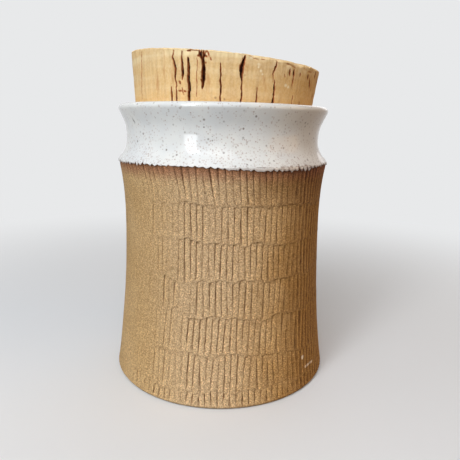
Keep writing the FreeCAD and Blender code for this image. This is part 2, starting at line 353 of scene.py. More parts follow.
@dataclass
class CarvedBody(Piece):
    """The bare clay body, from the foot to the shoulder under the glaze."""

    name: str = "jar_body"
    slot: Slot = Slot.CLAY
    node: str = "jar"
    columns: int = STRIPS * PER_STRIP
    foot_radius: float = 62.0 * MM
    waist_radius: float = 55.2 * MM
    shoulder_radius: float = 57.8 * MM
    waist_height: float = 90.6 * MM
    glaze_line: float = 118.8 * MM
    foot_bevel: float = 1.4 * MM
    foot_ring_width: float = 9.0 * MM
    foot_recess: float = 1.2 * MM
    foot_recess_slope: float = 2.0 * MM
    press_across: tuple[float, ...] = (0.0, 0.08, 0.16, 0.34, 0.58, 0.80, 0.92)
    press_depth: tuple[float, ...] = (1.0, 0.95, 0.50, 0.38, 0.22, 0.06, 0.0)
    press_top: tuple[float, ...] = (1.0, 1.0, 0.95, 0.85, 0.60, 0.2, 0.0)
    # line_tint, side_tint and tick_tint are painted shade: in each press line, on the side turned
    # from the light, and the shadow under a press's top step
    line_tint: tuple[float, ...] = (1.0, 0.9, 0.12, 0.0, 0.0, 0.0, 0.12)
    side_tint: tuple[float, ...] = (1.0, 1.0, 1.0, 1.0, 0.30, 0.0, 0.0)
    # side_edge_tint and edge_tint are a painted highlight, partly wear, on the ridge and wall that
    # face the light
    side_edge_tint: tuple[float, ...] = (0.0, 0.0, 0.0, 0.0, 0.8, 1.0, 0.8)
    tick_tint: tuple[float, ...] = (1.0, 1.0, 0.95, 0.85, 0.5, 0.1, 0.0)
    edge_tint: tuple[float, ...] = (0.0, 0.0, 0.9, 0.8, 0.3, 0.0, 0.0)
    row_drops: tuple[float, ...] = (0.0, 0.3, 0.9, 2.4)
    first_row_drops: tuple[float, ...] = (0.0, 0.4, 0.8, 1.2, 1.6, 2.1, 3.4)
    row_shares: tuple[float, ...] = (0.30, 0.44, 0.58, 0.72, 0.85, 0.93)
    row_end_gap: float = 0.7 * MM
    full_row: float = 15 * MM                  # lower rows have their rings closer together
    shallow: float = 0.10 * MM
    deep: float = 0.72 * MM
    side_depth: float = 0.06 * MM
    full_side: float = 0.6 * MM                # how much fuller the waist is on its right
    full_height: float = 72 * MM
    full_spread: float = 34 * MM
    deeper_from: Pair = (0.62, 0.3)            # where the side starts, and over how much it grows
    # where the painted shade of the lines starts on the side turned from the light, and over how
    # much it grows
    darker_from: Pair = (0.50, 0.22)
    scorch_and_shadow_reach: Pair = (0.75, 1.1)             # in mm at the front, and how much more on the right
    slant: Pair = (-0.2, 1.5)                  # how far a press's top edge rises, in mm
    first_front_strip: int = 69
    first_right_line: int = 23
    least_on_right: int = 5
    least: float = 0.7
    pressure: Pairs = ((-40, 0.7), (0, 0.9), (120, 1.0), (150, 0.6), (185, 0.12), (215, 0.10))

    def radius_at(self, height: Array) -> Array:
        """The uncarved radius at a height: two arcs that leave the waist upright.

        Args:
            height: One height for each place.

        Returns:
            The radius at each height.
        """
        def bulge(end_radius: float, end_height: float) -> Array:
            """One arc from the waist to an end.

            Args:
                end_radius: The radius at the arc's end.
                end_height: The height of the arc's end.

            Returns:
                The arc's radius at each height.
            """
            rise = abs(end_height - self.waist_height)
            spread = end_radius - self.waist_radius
            arc = (rise ** 2 + spread ** 2) / (2 * spread)
            away = np.clip(np.abs(height - self.waist_height), 0, 1.1 * rise)
            return self.waist_radius + arc - np.sqrt(arc ** 2 - away ** 2)
        upper = bulge(self.shoulder_radius, self.glaze_line)
        lower = bulge(self.foot_radius, self.foot_bevel)
        return np.where(height > self.waist_height, upper, lower)

    def drops(self, row: int) -> tuple[float, ...]:
        """How far below a row's top its first rings lie, in mm."""
        return self.row_drops if row else self.first_row_drops

    def row_rings(self) -> list[tuple[int, int]]:
        """The rings of the carved part from the top down, as row and ring in the row.

        Returns:
            The number of the row, and of the ring in it, for each ring.
        """
        return [
            (row, ring)
            for row in range(len(ROWS))
            for ring in range(len(self.drops(row)) + len(self.row_shares) + 1)
        ]

    def ring_height(self, row: int, ring: int, top: Array, bottom: Array) -> Array:
        """The height of a ring in a row that starts at top and ends at bottom.

        Args:
            row: The row's number.
            ring: The ring's number in the row.
            top: Where the row starts.
            bottom: Where the next row starts.

        Returns:
            The height of the ring at each place.
        """
        drops = self.drops(row)
        squeeze = np.minimum(1.0, (top - bottom) / self.full_row)
        if ring < len(drops):
            return top - drops[ring] * MM * squeeze
        share = ring - len(drops)
        if share < len(self.row_shares):
            return top + (bottom - top) * self.row_shares[share]
        return bottom + self.row_end_gap * squeeze

    def outline(self) -> list[Pair]:
        """The half outline: cap under the glaze, carved rows, foot and underside.

        Returns:
            Radius and height of each point.
        """
        tops = [row.tops[0][1] * MM for row in ROWS] + [self.foot_bevel]
        cap_mm = ((0.0, 123.0), (46.0, 123.0), (55.4, 122.2), (56.9, 120.7))
        cap = [(radius * MM, height * MM) for radius, height in cap_mm]
        self.cap_points = len(cap)
        carved = []
        for row, ring in self.row_rings():
            height = self.ring_height(row, ring, np.float64(tops[row]), np.float64(tops[row + 1]))
            carved.append((float(self.radius_at(height)), float(height)))
        ring_inner = self.foot_radius - self.foot_bevel - self.foot_ring_width
        return cap + carved + [
            (self.foot_radius, self.foot_bevel),
            (self.foot_radius - 0.45 * self.foot_bevel, 0.35 * self.foot_bevel),
            (self.foot_radius - self.foot_bevel, 0.0),
            (ring_inner, 0.0),
            (ring_inner - self.foot_recess_slope, self.foot_recess),
            (0.0, self.foot_recess),
        ]

    def strength(self, row: CarvedRow, generator: np.random.Generator) -> Array:
        """How hard each press of a row is, from 0 to 1, one for each strip.

        Args:
            row: The row of presses.
            generator: Where the random draws come from.

        Returns:
            One value for each strip.
        """
        values = generator.uniform(0.45, 1.0, STRIPS)
        values = values * generator.choice((1.0, 0.45), STRIPS, p=(0.82, 0.18))
        values *= around(np.arange(STRIPS) * 360 / STRIPS, self.pressure)
        for index, digit in enumerate(row.strengths):
            least = self.least_on_right if index >= self.first_right_line else 0
            strip = (self.first_front_strip + index) % STRIPS
            values[strip] = max(int(digit), least, self.least) / 9
        return values

    def steps(self, generator: np.random.Generator, reach: float) -> Array:
        """Heights by which presses in small groups start higher or lower, up to reach in mm.

        Args:
            generator: Where the random draws come from.
            reach: The most that a group is moved, in mm.

        Returns:
            One height for each strip.
        """
        values = np.zeros(STRIPS)
        index = 0
        while index < STRIPS:
            group = int(generator.choice((1, 2, 3, 4, 6), p=(0.15, 0.25, 0.25, 0.2, 0.15)))
            values[index:index + group] = generator.uniform(-reach, reach) * MM
            index += group
        return values + generator.uniform(-0.65, 0.65, STRIPS) * MM

    def shape(self, mesh: TurnedMesh) -> None:
        """Presses the rows into the clay, and paints shade into the lines and a highlight, partly
        wear, on their edges.

        Args:
            mesh: The turned piece, whose vertices are moved and painted.
        """
        generator, slants = np.random.default_rng(11), np.random.default_rng(13)
        strip, across = np.divmod(mesh.column, PER_STRIP)
        inside, press, near_top, line_tint, side_tint, side_edge, tick_tint, edge_tint = (
            np.array(table)[across] for table in (
                self.press_across, self.press_depth, self.press_top, self.line_tint,
                self.side_tint, self.side_edge_tint, self.tick_tint, self.edge_tint,
            )
        )
        even = 360 / STRIPS * (strip + inside)
        centre = np.where(even > 180, even - 360, even)
        azimuth = np.radians(even)
        rings = self.row_rings()
        last_carved = self.cap_points + len(rings)
        height = mesh.place[:, 2].copy()
        depth, line, edge, scorch_and_shadow = np.zeros((4, len(height)))
        tops = []
        for row in ROWS:
            jag = self.steps(generator, 2.2 if row is ROWS[-1] else 1.0)[strip]
            jag += slants.uniform(*self.slant, STRIPS)[strip] * (inside - 0.4) * MM
            tops.append(around(centre, row.tops) * MM + jag * (row is not ROWS[0]))
        tops.append(np.full(len(height), self.foot_bevel))
        wander = generator.normal(0, 0.09, (len(rings) + 1, STRIPS))
        skew = generator.normal(0, 0.7, (len(ROWS), STRIPS))
        edge_rise = glaze_rise(mesh.column)
        for index, row in enumerate(ROWS):
            hard = self.strength(row, generator)
            whole = generator.uniform(0.0, 0.10, STRIPS) * MM
            breaks = generator.uniform(0.35, 1.0, (STRIPS, 12))
            shift = around(centre, list(zip(SHIFT_ANCHORS, row.shifts)))
            for number, (ring_row, ring) in enumerate(rings):
                if ring_row != index:
                    continue
                here = mesh.station == self.cap_points + number
                s = strip[here]
                top, bottom = tops[index][here], tops[index + 1][here]
                level = self.ring_height(index, ring, top, bottom)
                share = (top - level) / np.maximum(top - bottom, MM)
                below_top = float(ring > 0)
                height[here] = level
                lean = (row.lean + skew[index, s]) * (share - 0.4) * below_top
                azimuth[here] += np.radians(shift[here] + lean + wander[number][s] * below_top)
                facing = np.cos(azimuth[here])
                # a press: sharp and deep at its top, fading out at its foot
                blend = np.clip(1 - share / 0.16, 0, 1)
                cut = press[here] * (1 - blend) + near_top[here] * blend
                fade = 1 - 0.75 * smooth_step(share, 0.80, 0.99)
                firm = np.clip(4 * hard[s] - 0.2, 0, 1)
                side_depth = self.side_depth * grown(facing, *self.deeper_from)
                size = self.shallow * firm + (self.deep - self.shallow) * hard[s] + side_depth
                depth[here] = (size * cut + whole[s] * firm) * fade * below_top
                # how dark the painted shade in its line is, and how pale the painted highlight,
                # partly wear, on its edge
                strong = np.clip(hard[s] * 1.6, 0, 1) * breaks[s, ring % 12]
                side = grown(facing, *self.darker_from)
                sharp = 0.85 * side * breaks[s, 5] ** 0.5 * (whole[s] > 0.02 * MM)
                strong = np.maximum(strong, sharp)
                # a scorched line under the glaze's edge, with painted shadow where the edge stands
                # proud, reaching further on the shaded right
                if index == 0:
                    near_glaze = np.clip(1 - share / 0.45, 0, 1)
                    strong = np.clip(strong + 0.8 * near_glaze * (whole[s] > 0.03 * MM), 0, 1)
                    below = self.glaze_line + edge_rise[here] - level
                    reach = (self.scorch_and_shadow_reach[0] + self.scorch_and_shadow_reach[1] * np.clip(facing, 0, 1)) * MM
                    scorch_and_shadow[here] = np.exp(-np.clip(below, 0, 1) / reach)
                tint = line_tint[here] * (1 - 0.5 * smooth_step(share, 0.8, 1.0))
                if ring in (1, 2):
                    tint = np.maximum(tint, tick_tint[here] / (2 * ring - 1))
                tint = np.maximum(tint, side * side_tint[here])
                line[here] = tint * strong * (0.25 if ring == 0 else 1.0)
                # painted highlight, partly wear, on the wall and ridge that face the light
                lit = np.maximum(edge_tint[here], side * side_edge[here])
                edge[here] = lit * strong * below_top
        carved = (mesh.station >= self.cap_points) & (mesh.station < last_carved)
        radius = np.where(carved, self.radius_at(height) - depth, mesh.radius())
        run_out = 0.55 * self.deep * press
        radius = np.where(mesh.station == last_carved, radius - run_out, radius)
        mesh.reshape(radius, azimuth, height)
        foot = smooth_step(-height, -30 * MM, -6 * MM)
        uneven = (lumps(mesh.place, 22 * MM, 1.0) - foot) * 0.18 * MM
        waist = np.exp(-(((height - self.full_height) / self.full_spread) ** 2)) * (1 - foot)
        uneven += self.full_side * waist * np.clip(np.cos(azimuth - 0.1), 0, 1) ** 1.5
        fine = lumps(mesh.place, 2.2 * MM, 2.0) * 0.05 * MM - 0.05 * MM
        mesh.reshape(np.where(carved, radius + uneven + fine, radius), azimuth, height)
        mesh.paint("groove", line)
        mesh.paint("lit_and_worn_edge", edge)
        mesh.paint("scorch_and_shadow", scorch_and_shadow)

    def material(self) -> bpy.types.Material:
        """Matte sandy clay."""
        return BareClay().material()


# --------------------------------------------------------------------- the neck

EDGE_HEIGHTS = (                               # degrees, and mm above the floor
    (-153, 119.2), (-140, 119.3), (-112, 119.7), (-102, 119.7), (-95, 119.5), (-91, 119.3),
    (-87, 118.7), (-77, 118.7), (-73, 118.0), (-69, 118.4), (-56, 118.0), (-42, 118.4),
    (-30, 119.5), (10, 119.4), (60, 118.7), (120, 119.2),
)
EDGE_TEETH = (                                 # degrees, and mm that the teeth hang down
    (-160, 1.8), (-128, 1.8), (-118, 0.8), (-102, 0.6), (-96, 1.1), (-88, 0.9), (-64, 0.9),
    (-56, 2.0), (-30, 2.2), (60, 1.3), (150, 1.6),
)


def glaze_rise(column: Array) -> Array:
    """How far the glaze's edge lies above its line: up at the grooves, down on the ridges.

    Args:
        column: The number of each vertex's column.

    Returns:
        One height for each vertex.
    """
    generator = np.random.default_rng(23)
    degrees = 360 * column / (STRIPS * PER_STRIP)
    strip, inside = np.divmod(column, PER_STRIP)
    peak = generator.uniform(0.15, 1.0, STRIPS) ** 1.3
    drip = generator.uniform(0.0, 0.55, STRIPS)
    lean = generator.uniform(-0.12, 0.12, STRIPS)
    away = (inside / PER_STRIP - 0.08 - lean[strip] + 0.5) % 1 - 0.5
    width = generator.uniform(0.12, 0.22, STRIPS)[strip]
    from_drip = (away - 0.45) % 1
    tooth = peak[strip] * np.exp(-((away / width) ** 2))
    tooth -= drip[strip] * np.exp(-((from_drip / 0.3) ** 2))
    rise = around(degrees, EDGE_HEIGHTS) + tooth * around(degrees, EDGE_TEETH)
    return rise * MM - CarvedBody.glaze_line


@dataclass
class GlazedNeck(Piece):
    """The glazed top of the jar: ledge, neck, flared lip, mouth and the cork's seat."""

    name: str = "glazed_neck"
    slot: Slot = Slot.GLAZE
    node: str = "jar"
    columns: int = STRIPS * PER_STRIP
    shoulder_radius: float = 58.2 * MM
    neck_radius: float = 52.9 * MM
    rim_radius: float = 58.6 * MM
    body_height: float = 119.8 * MM
    neck_start: float = 127.0 * MM
    flare_start: float = 136.6 * MM
    jar_height: float = 148.5 * MM
    glaze_line: float = 118.8 * MM
    mouth_radius: float = 54.0 * MM
    throat_radius: float = 47.7 * MM
    throat_height: float = 138.5 * MM
    mouth_shift: Pair = (-0.7 * MM, 0.7 * MM)
    seat_depth: float = 7.4 * MM
    edge_reach: float = 6.0 * MM               # how far up its edge is drawn back
    full_side: float = 0.9 * MM                # how much fuller the neck is on its left
    iron_spot: tuple[float, ...] = (-144.6, 139.6, 1.1, 0.5, -50.0)

    def outline(self) -> list[Pair]:
        """The half outline, from the hidden underside over the lip to the cork's seat.

        Returns:
            Radius and height of each point.
        """
        lift = self.glaze_line
        hidden = [(0.0, 121.8 * MM), (50.0 * MM, 121.6 * MM)]
        bead = [
            (self.shoulder_radius - 1.3 * MM, lift + 0.75 * MM),
            (self.shoulder_radius - 0.5 * MM, lift + 0.15 * MM),
            (self.shoulder_radius - 0.18 * MM, lift - 0.02 * MM),
        ]
        self.bead_start = len(hidden)
        self.path_start = len(hidden) + len(bead)
        corners = [
            (self.shoulder_radius, lift + 0.2 * MM),
            (self.shoulder_radius, self.body_height),
            (self.neck_radius, self.neck_start),
            (self.neck_radius, self.flare_start),
            (self.rim_radius, self.jar_height),
            (self.mouth_radius, self.jar_height),
            (self.throat_radius, self.throat_height),
        ]
        radii = [0.5 * MM, 13.0 * MM, 18.0 * MM, 2.0 * MM, 1.2 * MM]
        self.path = refined(rounded_route(corners, radii, (4, 11, 11, 8, 5)), 1.5 * MM)
        self.throat_point = self.path_start + len(self.path) - 1
        seat = [(self.throat_radius, self.throat_height - n * 1.85 * MM) for n in range(1, 5)]
        floor = self.throat_height - self.seat_depth - 0.4 * MM
        return hidden + bead + self.path + seat + [(40 * MM, floor), (0.0, floor)]

    def draw_edge(self, mesh: TurnedMesh, azimuth: Array) -> None:
        """Draws the glaze's lower edge up and down along the surface, strip by strip.

        Args:
            mesh: The turned neck.
            azimuth: Each vertex's azimuth in radians, which is moved to follow the strips.
        """
        rise = glaze_rise(mesh.column)
        route = np.array([(self.shoulder_radius, self.glaze_line - 2 * MM)] + self.path[:14])
        steps = np.hypot(*np.diff(route, axis=0).T)
        along = np.concatenate(((0.0,), np.cumsum(steps))) - 2 * MM
        number = np.clip(mesh.station - self.path_start + 1, 0, len(route) - 1)
        on_path = (mesh.station >= self.path_start) & (number < len(route) - 1)
        on_bead = (mesh.station >= self.bead_start) & (mesh.station < self.path_start)
        start = along[number]
        share = np.clip(1 - start / self.edge_reach, 0, 1)
        target = np.where(on_path, start + rise * share, rise)
        radius, height = mesh.radius(), mesh.place[:, 2]
        edge_radius, edge_height = (np.interp(target, along, route[:, axis]) for axis in (0, 1))
        bead_radius = edge_radius - self.shoulder_radius + radius
        bead_height = edge_height - self.glaze_line + height
        radius = np.where(on_path, edge_radius, np.where(on_bead, bead_radius, radius))
        height = np.where(on_path, edge_height, np.where(on_bead, bead_height, height))
        degrees = np.degrees(np.where(azimuth > math.pi, azimuth - FULL_TURN, azimuth))
        shift = around(degrees, list(zip(SHIFT_ANCHORS, ROWS[0].shifts))) - 0.4 * ROWS[0].lean
        azimuth += np.radians(shift) * np.where(on_path, share, on_bead)
        mesh.reshape(radius, azimuth, height)

    def shape(self, mesh: TurnedMesh) -> None:
        """Moves the lower edge, the lip, the mouth and the seat into place.

        Args:
            mesh: The turned piece, whose vertices are moved and painted.
        """
        azimuth = FULL_TURN * mesh.column / mesh.columns
        degrees = np.degrees(np.where(azimuth > math.pi, azimuth - FULL_TURN, azimuth))
        self.draw_edge(mesh, azimuth)
        station, radius, height = mesh.station, mesh.radius(), mesh.place[:, 2].copy()
        outer = (station >= self.path_start) & (station <= self.throat_point)
        soft = lumps(mesh.place, 16 * MM, 5.0) * 0.16 * MM - 0.16 * MM
        ripple = lumps(mesh.place, 5 * MM, 6.0) * 0.04 * MM - 0.04 * MM
        radius = np.where(outer & (station > self.path_start + 6), radius + soft + ripple, radius)
        level = (height - 0.5 * (self.neck_start + self.flare_start)) / (8.5 * MM)
        left = np.clip(np.cos(azimuth - math.radians(182)), 0, 1)
        outside = outer & (station < self.throat_point - 14)
        radius += self.full_side * left * np.exp(-(level ** 2)) * outside
        place = cylinder(radius, azimuth, height)
        lip_inside = self.mouth_radius + 1.4 * MM
        inner = outer & (radius < lip_inside) & (height > self.throat_height - WELD_DISTANCE)
        inner &= station > self.throat_point - 12
        share = smooth_step(-radius, -lip_inside, -self.mouth_radius)
        for axis in (0, 1):
            place[:, axis] += np.where(inner, share * self.mouth_shift[axis], 0.0)
        seat = (station >= self.throat_point) & (station <= self.throat_point + 4)
        cork = Cork()
        along = cork.seat_depth - (self.throat_height - height) * seat
        local = cylinder(cork.side_radius(along) + cork.clearance, azimuth, along)
        place = np.where(seat[:, None], cork.to_jar(local), place)
        mesh.move(np.where(mesh.pole[:, None], mesh.place, place))
        spot_azimuth, spot_height, length, width, angle = self.iron_spot
        right = np.radians(degrees - spot_azimuth) * self.neck_radius / MM
        away = oval(right, mesh.place[:, 2] / MM - spot_height, math.radians(angle), length, width)
        stain = np.clip(1.5 - away, 0, 1)
        mesh.paint("iron", np.where(station <= self.throat_point, stain, 0.0))

    def material(self) -> bpy.types.Material:
        """Glossy off-white glaze."""
        return WhiteGlaze().material()


# --------------------------------------------------------------------- the cork


@dataclass(frozen=True)
class Crack:
    """A crack in the cork's side: degrees and mm above the bottom along its route."""

    route: Pairs
    width: float
    depth: float
    stain: float = 1.0
    taper: float = 1.0                         # how much narrower it gets towards both ends


FRONT_CRACKS = (                               # each as a Crack's values
    (((-144, 37), (-146, 28), (-148.5, 12)), 0.5, 0.3, 0.65),
    (((-118.6, 36.2), (-119.3, 33.3), (-117.3, 29), (-117.7, 25.5), (-116.8, 21)), 0.65, 1.6),
    (((-120.2, 20.5), (-120, 12)), 0.55, 1.4), (((-117, 20.5), (-117.2, 12)), 0.5, 1.2),
    (((-113.6, 36), (-113.4, 30), (-113, 26), (-113.3, 24)), 0.8, 2.0),
    (((-109.9, 33.5), (-109.5, 25), (-109, 10)), 0.95, 2.6, 1.0, 0.5),
    (((-115.3, 23.3), (-114.4, 22.1)), 0.8, 0.9, 0.8),
    (((-115.6, 19.0), (-113, 19.4), (-111.0, 18.8)), 0.4, 0.5, 0.75),
    (((-113.4, 19.2), (-112.4, 17.6)), 0.4, 0.5, 0.75),
    (((-113.0, 19.4), (-113.2, 20.4)), 0.4, 0.4, 0.6),
    (((-110.6, 36.3), (-107.5, 36.9), (-104.2, 36.6)), 0.45, 0.8, 0.9),
    (((-105, 33), (-105, 17)), 0.35, 0.3, 0.5),
    (((-103.7, 38.6), (-103.3, 35), (-102.0, 32.6)), 0.9, 2.4, 1.0, 0.2),
    (((-101.4, 38.6), (-101.3, 35), (-101.8, 32.6)), 0.9, 2.8, 1.0, 0.2),
    (((-102.0, 33.6), (-101.6, 29), (-101.4, 25), (-101.9, 20.5)), 1.45, 3.2, 1.0, 0.8),
    (((-100.4, 37.6), (-99.9, 35.8)), 0.7, 0.9, 0.85),
    (((-100.9, 34.4), (-99.2, 33.8)), 0.55, 0.7, 0.8),
    (((-103.6, 34.6), (-104.8, 33.9)), 0.5, 0.6, 0.8),
    (((-100.7, 31.6), (-99.6, 31.9)), 0.45, 0.5, 0.7),
    (((-103.0, 24.6), (-101.6, 23.4), (-100.3, 24.4)), 0.5, 0.6, 0.75),
    (((-99.4, 36.2), (-98.7, 34.2)), 0.6, 0.5, 0.6),
    (((-98.2, 33.9), (-97.3, 32.5)), 0.6, 0.4, 0.5),
    (((-100.6, 26.4), (-100.2, 25.6)), 0.6, 0.4, 0.5),
    (((-92.7, 31.5), (-92.2, 23), (-91.7, 12)), 0.5, 1.3, 0.9, 0.6),
    (((-86.9, 38.6), (-86.3, 36.9)), 1.2, 1.3),
    (((-80.3, 35.6), (-81.7, 30.5), (-81.2, 24.8)), 1.4, 2.8, 1.0, 0.9),
    (((-81.2, 25.2), (-80.8, 20), (-80.4, 10)), 0.5, 1.2, 0.85, 0.5),
    (((-72.4, 22.5), (-72, 12)), 0.45, 1.0, 0.9),
    (((-62.6, 34.8), (-63.2, 31.5), (-64.0, 29.3)), 0.75, 1.6, 0.95),
    (((-63.9, 29.5), (-63.2, 26.0)), 0.35, 0.5, 0.6),
    (((-62.4, 26.6), (-62.0, 22), (-61.6, 17)), 0.75, 1.6),
    (((-61.8, 19.5), (-62.2, 10)), 0.95, 2.0, 1.0, 0.5), (((-53, 32.4), (-52.9, 29.8)), 0.95, 1.4),
    (((-49.8, 32.4), (-49.8, 29.7)), 1.1, 1.4), (((-49.8, 29.5), (-49.6, 24.5)), 0.5, 0.4, 0.65),
    (((-47.6, 21), (-47, 14)), 0.5, 0.4, 0.6), (((-44, 31.8), (-44, 30.4)), 0.8, 0.6, 0.85),
    (((-33, 30.5), (-31, 26.2)), 1.1, 1.0, 1.0), (((-25.2, 34.6), (-25, 31)), 1.2, 1.0, 1.0),
    (((-36.0, 31.9), (-35.4, 29.8)), 1.0, 0.7, 1.0),
    (((-40.4, 18.6), (-39.8, 15.0)), 0.7, 0.5, 0.7),
    (((-17.4, 31.8), (-16.6, 28.0)), 1.5, 0.8, 0.9),
    (((-22.0, 24.0), (-21.2, 21.4)), 1.0, 0.5, 0.7),
    (((-56.6, 29.9), (-56.2, 28.9)), 0.5, 0.4, 0.6),
    # a shallow wavy cut under the worn top edge on the right, its dark a painted shadow line
    (((-79, 36.0), (-74, 34.6), (-69, 35.2)), 0.35, 0.3, 0.42),
    (((-69, 35.2), (-62, 34.0), (-55, 34.6), (-49, 33.6)), 0.35, 0.35, 0.42),
    (((-49, 33.6), (-42, 34.2), (-35, 33.3), (-28, 33.9)), 0.35, 0.3, 0.42),
)


@dataclass
class Cork(Piece):
    """The tapered cork: cracked sides, a worn top edge and a pitted top."""

    name: str = "cork_stopper"
    slot: Slot = Slot.CORK
    node: str = "cork"
    columns: int = 770
    fine_columns: int = 400
    fine_from: float = -152.0
    fine_to: float = -18.0
    bottom_radius: float = 46.914 * MM
    thickness: float = 38.1 * MM
    taper: float = math.tan(math.radians(6.0))
    tilt: float = math.radians(2.7)
    top_fall: float = math.tan(math.radians(1.6))
    top_climb: float = math.tan(math.radians(1.4))
    seat_depth: float = 5.1 * MM
    clearance: float = 0.25 * MM
    throat: tuple[float, float, float] = (-0.7 * MM, 0.7 * MM, 138.5 * MM)
    bottom_bevel: float = 0.8 * MM
    edge_rounding: float = 1.0 * MM
    back_cracks: int = 13
    back_start: float = -10.0
    back_step: float = 17.0
    side_rings: int = 54
    edge_rings: int = 5
    top_rings: int = 34
    side_start: int = 4                        # points of the outline below the side
    chips: Pairs = ((-68, 0.9), (-47, 1.3), (-28, 0.8), (35, 0.9), (128, 1.1))
    chip_spread: float = 7.5
    pits: int = 46

    def side_radius(self, along: Array) -> Array:
        """The radius at a height above the bottom, along the cork's own axis."""
        return self.bottom_radius + along * self.taper

    def to_jar(self, local: Array) -> Array:
        """Moves places from the cork's own frame to its seat in the jar.

        Args:
            local: Places in the cork's own frame.

        Returns:
            The same places in the jar's frame.
        """
        lowered = Matrix.Translation((0, 0, -self.seat_depth))
        place = Matrix.Translation(self.throat) @ Matrix.Rotation(self.tilt, 4, "Y") @ lowered
        turn = np.array(place)
        return local @ turn[:3, :3].T + turn[:3, 3]

    def top_height(self, x: Array, y: Array) -> Array:
        """The height of the sloping top face above the bottom."""
        return self.thickness - x * self.top_fall + y * self.top_climb

    def cracks(self) -> list[Crack]:
        """The cracks across the front, and the rest round the back by a rule.

        Returns:
            All the cracks, the front ones first.
        """
        found = [Crack(*values) for values in FRONT_CRACKS]
        for index in range(self.back_cracks):
            sway = math.sin(2.4 * index)
            start = self.back_start + self.back_step * index + 4.0 * sway
            low = 9.0 + 6.0 * math.sin(1.7 * index) ** 2
            high = min(low + 9.0 + 13.0 * math.cos(2.1 * index) ** 2, self.thickness / MM - 3.0)
            width = 0.8 + 0.35 * sway
            lean = math.degrees(0.8 * sway / 49)
            middle = (start + 0.6 * lean + 0.5, (low + high) / 2)
            thin = start + 7.0 + 3.0 * math.cos(3.3 * index)
            reach = 20.0 + 12.0 * math.sin(5.1 * index)
            tick = start + 11.0 + 2.0 * math.sin(4.1 * index)
            level = 27.0 + 7.0 * math.cos(1.9 * index)
            found += (
                Crack(((start, low), middle, (start + lean, high)), width, 2.2 * width, taper=0.8),
                Crack(((thin, 37.0 - 0.2 * reach), (thin + 0.6, 37.0 - reach)), 0.4, 0.5, 0.6),
                Crack(((tick, level + 2.2), (tick - 0.3, level - 1.5)), 0.7, 1.2, 0.9),
            )
        return found

    def outline(self) -> list[Pair]:
        """The half outline in the cork's own frame, from the bottom's centre to the top's.

        Returns:
            Radius and height of each point.
        """
        bevel, rounding = self.bottom_bevel, self.edge_rounding
        low = [(0.0, 0.0), (18 * MM, 0.0), (36 * MM, 0.0), (self.bottom_radius - bevel, 0.0)]
        top = self.thickness - rounding
        last = self.side_rings - 1
        heights = [bevel + (top - bevel) * ring / last for ring in range(self.side_rings)]
        side = [(self.side_radius(height), height) for height in heights]
        rim = self.side_radius(self.thickness)
        turns = [math.pi / 2 * ring / self.edge_rings for ring in range(1, self.edge_rings)]
        edge = [(rim - rounding * (1 - math.cos(t)), top + rounding * math.sin(t)) for t in turns]
        shares = [(1 - ring / self.top_rings) ** 0.92 for ring in range(self.top_rings)]
        flat = [((rim - rounding) * share, self.thickness) for share in shares]
        return low + side + edge + flat + [(0.0, self.thickness)]

    def shape(self, mesh: TurnedMesh) -> None:
        """Slopes the top, wears the edge, opens the cracks and pits, and paints them.

        Args:
            mesh: The turned piece, whose vertices are moved and painted.
        """
        coarse = self.columns - self.fine_columns
        front = np.linspace(self.fine_from, self.fine_to, self.fine_columns, endpoint=False)
        back = np.linspace(self.fine_to, self.fine_from + 360, coarse, endpoint=False)
        degrees = np.concatenate((front, back))[mesh.column]
        azimuth = np.radians(degrees)
        station = mesh.station
        side_end = self.side_start + self.side_rings - 1
        edge_end = side_end + self.edge_rings
        wear = np.full(len(azimuth), self.edge_rounding)
        for where, size in self.chips:
            away = signed(degrees - where)
            wear += 1.5 * size * MM * np.exp(-((away / self.chip_spread) ** 2))
        ring_place = cylinder(1.0, azimuth, 0 * azimuth) * 49 * MM
        wear *= 1 + 0.35 * lumps(ring_place, 6 * MM, 3.0)
        rim = self.side_radius(self.thickness)
        rim_height = self.top_height(rim * np.cos(azimuth), rim * np.sin(azimuth))
        radius, height = mesh.radius(), mesh.place[:, 2].copy()
        share = (station - self.side_start) / (self.side_rings - 1)
        on_side = (station >= self.side_start) & (station <= side_end)
        side_top = rim_height - wear
        side_height = self.bottom_bevel + (side_top - self.bottom_bevel) * share
        height = np.where(on_side, side_height, height)
        radius = np.where(on_side, self.side_radius(side_height), radius)
        on_edge = (station > side_end) & (station < edge_end)
        turn = math.pi / 2 * (station - side_end) / self.edge_rings
        rim_radius = self.side_radius(rim_height)
        radius = np.where(on_edge, rim_radius - wear * (1 - np.cos(turn)), radius)
        height = np.where(on_edge, side_top + wear * np.sin(turn), height)
        on_top = station >= edge_end
        scale = (rim_radius - wear) / (rim - self.edge_rounding)
        radius = np.where(on_top, radius * scale, radius)
        x, y = radius * np.cos(azimuth), radius * np.sin(azimuth)
        height = np.where(on_top, self.top_height(x, y), height)
        place = np.column_stack((x, y, height))
        travel = np.where(on_top, rim_height + (rim_radius - radius) * 1.6, height) / MM
        cut, dark = self.split(degrees, radius, travel)
        pits, pit_dark = self.top_pits(x, y, on_top)
        rough = 0.10 * lumps(place, 3.2 * MM, 7.0) + 0.05 * lumps(place, 1.1 * MM, 8.0)
        at_edge = np.exp(-((station - side_end - 2) / 3.0) ** 2)
        crumble = np.clip(lumps(place, 1.9 * MM, 9.0), 0, 1) * at_edge
        inward = cut + pits + (0.15 - rough + 0.55 * crumble) * MM
        inward = np.where(station < self.side_start, 0.0, inward)
        facing_up = np.clip((station - side_end) / self.edge_rings, 0, 1) * math.pi / 2
        radius = np.where(mesh.pole, 0.0, radius - inward * np.cos(facing_up))
        height = height - inward * np.sin(facing_up)
        mesh.move(self.to_jar(cylinder(radius, azimuth, height)))
        mesh.paint("crack", np.clip(np.maximum(dark, pit_dark), 0, 1))
        right = np.exp(-(signed(degrees + 48) / 24) ** 2)
        band = np.exp(-((station - side_end + 1) / 3.2) ** 2) * (station >= self.side_start)
        patches = smooth_step(lumps(place, 2.6 * MM, 15.0), -0.25, 0.35)
        mesh.paint("crumb", np.clip(crumble + right * band * patches, 0, 1))

